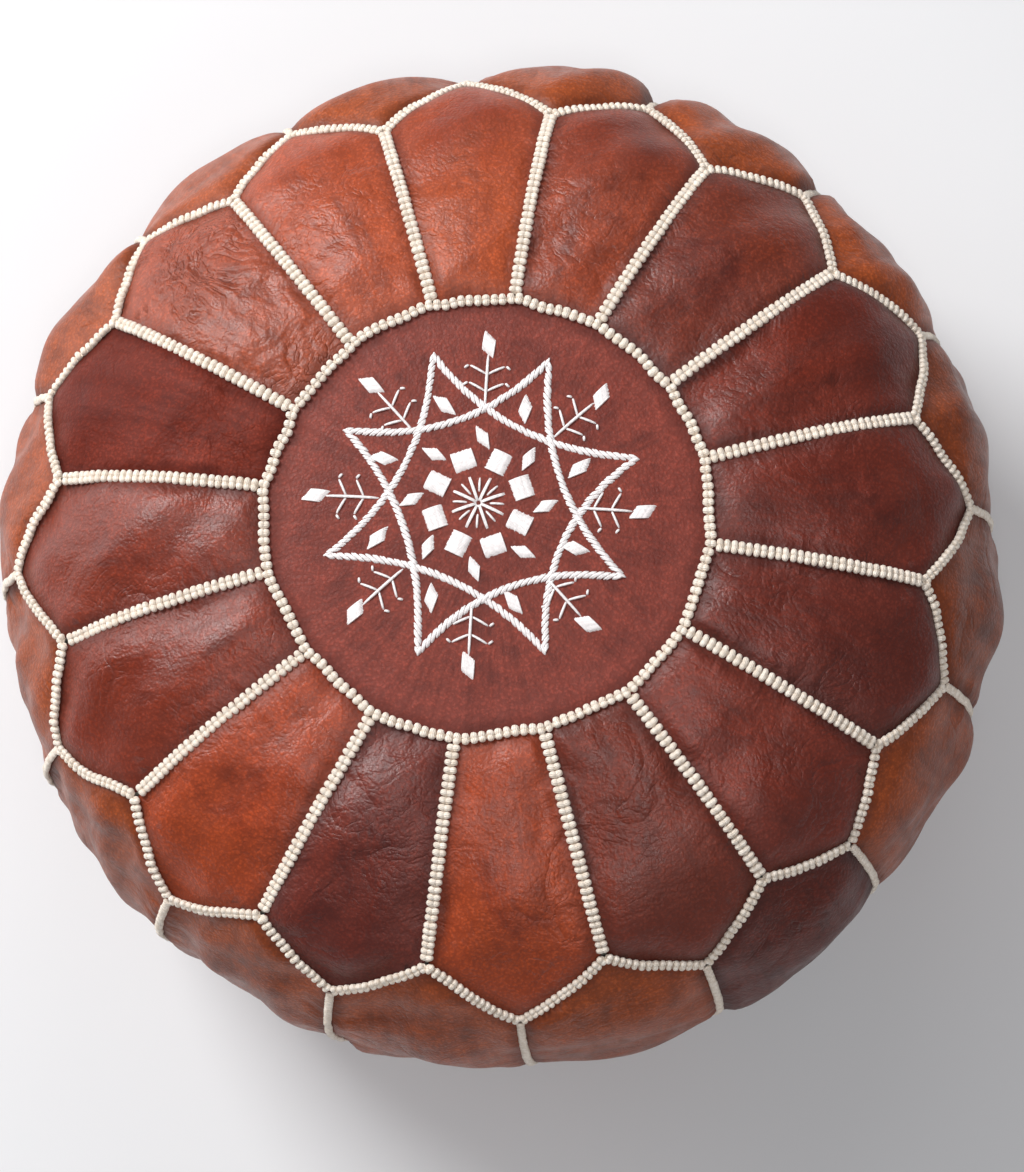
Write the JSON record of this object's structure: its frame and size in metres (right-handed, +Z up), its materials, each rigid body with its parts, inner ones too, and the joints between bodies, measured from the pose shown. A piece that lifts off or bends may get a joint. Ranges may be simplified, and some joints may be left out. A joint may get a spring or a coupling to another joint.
{
  "type": "moroccan leather pouf",
  "caption": "Round stuffed floor pouf sewn from leather petals and side panels, with braided seams, an embroidered medallion and a zipped base.",
  "frame": {"origin": "middle of the base, on the floor the pouf rests on", "axes": "+Z up along the axis through the medallion; the zip runs along X and its slider is at the +X end; petal 1 points to +Y"},
  "size_m": [0.5236, 0.5236, 0.302],
  "materials": {
    "tan_leather": "satin",
    "chestnut_leather": "satin",
    "dark_leather": "satin",
    "medallion_leather": "satin",
    "side_leather": "satin",
    "base_leather": "satin",
    "cream_braid": "satin",
    "white_silk": "satin",
    "cotton_liner": "matte",
    "stuffing": "matte",
    "zip_tape": "matte",
    "zip_brass": "satin"
  },
  "bodies": {
    "stuffed_cover": {"medallion": "medallion_leather", "petal_01": "tan_leather", "side_panel_01": "side_leather", "petal_02": "chestnut_leather", "side_panel_02": "side_leather", "petal_03": "dark_leather", "side_panel_03": "side_leather", "petal_04": "chestnut_leather", "side_panel_04": "side_leather", "petal_05": "dark_leather", "side_panel_05": "side_leather", "petal_06": "dark_leather", "side_panel_06": "side_leather", "petal_07": "dark_leather", "side_panel_07": "dark_leather", "petal_08": "chestnut_leather", "side_panel_08": "side_leather", "petal_09": "tan_leather", "side_panel_09": "side_leather", "petal_10": "dark_leather", "side_panel_10": "side_leather", "petal_11": "tan_leather", "side_panel_11": "side_leather", "petal_12": "chestnut_leather", "side_panel_12": "side_leather", "petal_13": "chestnut_leather", "side_panel_13": "side_leather", "petal_14": "dark_leather", "side_panel_14": "side_leather", "petal_15": "chestnut_leather", "side_panel_15": "side_leather", "petal_16": "tan_leather", "side_panel_16": "side_leather", "base_half_front": "base_leather", "base_half_back": "base_leather", "base_welts": "base_leather", "ring_braid": "cream_braid", "petal_braids": "cream_braid", "crown_braids": "cream_braid", "side_braids": "cream_braid", "base_braid": "cream_braid", "star_embroidery": "white_silk", "burst_embroidery": "white_silk", "square_embroidery": "white_silk", "lozenge_embroidery": "white_silk", "branch_embroidery": "white_silk", "liner_bag": "cotton_liner", "filling": "stuffing", "zip_tape_front": "zip_tape", "zip_tape_back": "zip_tape", "zip_teeth_front": "zip_brass", "zip_teeth_back": "zip_brass", "zip_top_stops": "zip_brass", "zip_bottom_stop": "zip_brass"},
    "zip_slider": {"zip_slider": "zip_brass"},
    "zip_pull": {"zip_pull": "zip_brass"}
  },
  "joints": [
    {"name": "zip_slide", "type": "slide", "parent": "stuffed_cover", "child": "zip_slider", "axis": [-1, 0, 0], "range_m": [0, 0.257], "deforming": ["zip_teeth_front", "zip_teeth_back"]},
    {"name": "pull_hinge", "type": "hinge", "parent": "zip_slider", "child": "zip_pull", "pos_m": [0.1358, 0, 0.0041], "axis": [0, -1, 0], "range_deg": [0, 165]}
  ]
}
